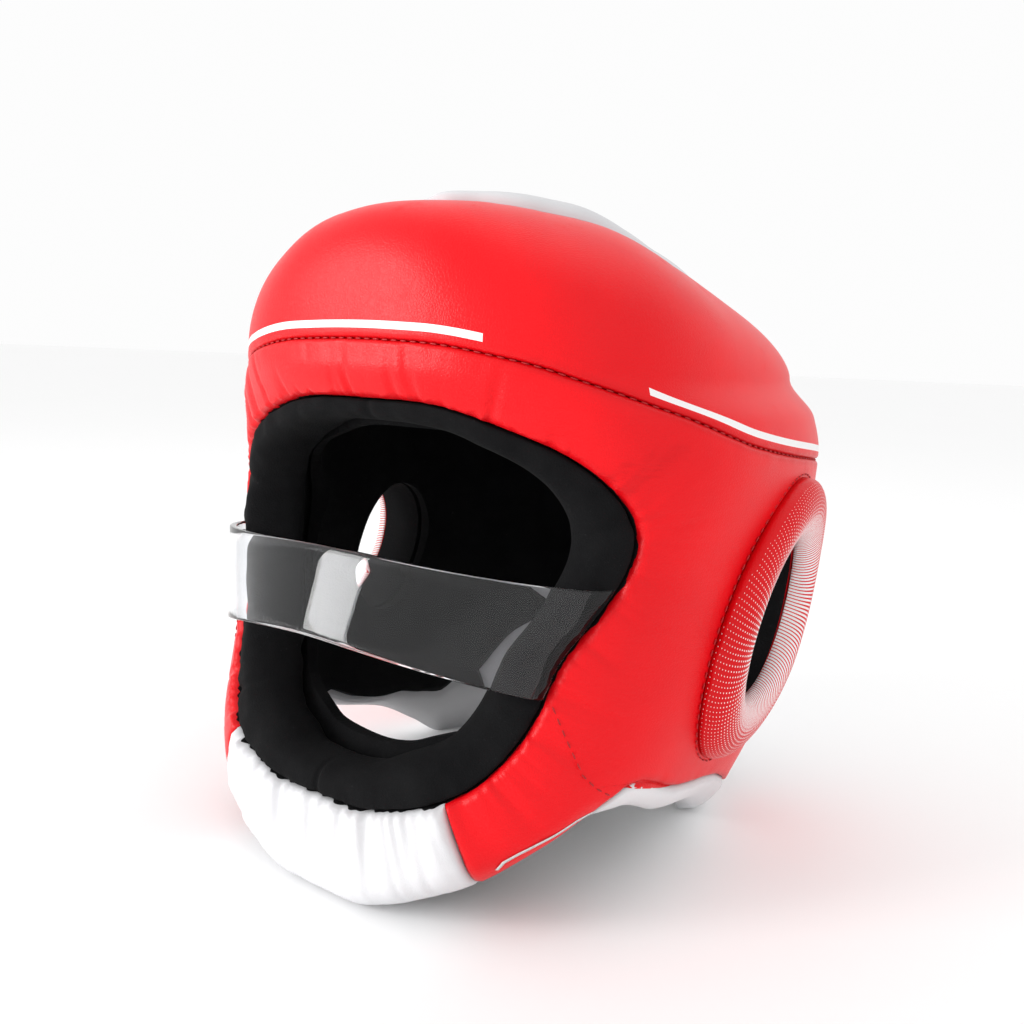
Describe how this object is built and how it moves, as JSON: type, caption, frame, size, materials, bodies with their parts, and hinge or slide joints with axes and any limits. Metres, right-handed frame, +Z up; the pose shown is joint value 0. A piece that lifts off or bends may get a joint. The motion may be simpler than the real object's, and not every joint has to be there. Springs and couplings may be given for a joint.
{
  "type": "boxing headgear",
  "caption": "Padded full-face boxing headgear: padded shell, white chin pad, padded ear rings, black lining and a clear bar across the face opening.",
  "frame": {"origin": "centre of the bounding box on the surface it stands on", "axes": "-Y is where the face looks, +X is the wearer's left, +Z is up"},
  "size_m": [0.2506, 0.2566, 0.254],
  "materials": {
    "brow_pad": "red synthetic leather",
    "cheek_shell": "red synthetic leather",
    "chin_pad": "white synthetic leather",
    "ear_ring_left": "red synthetic leather with printed dots",
    "ear_ring_right": "red synthetic leather with printed dots",
    "crown_pad": "white synthetic leather",
    "rear_pad": "white synthetic leather",
    "nape_band": "white synthetic leather",
    "face_lining": "black brushed lining",
    "inner_liner": "black brushed lining",
    "face_bar": "clear moulded plastic"
  },
  "bodies": {
    "root": {"brow_pad": "brow_pad", "cheek_shell": "cheek_shell", "chin_pad": "chin_pad", "ear_ring_left": "ear_ring_left", "ear_ring_right": "ear_ring_right", "crown_pad": "crown_pad", "rear_pad": "rear_pad", "nape_band": "nape_band", "face_lining": "face_lining", "inner_liner": "inner_liner", "face_bar": "face_bar"}
  },
  "joints": []
}
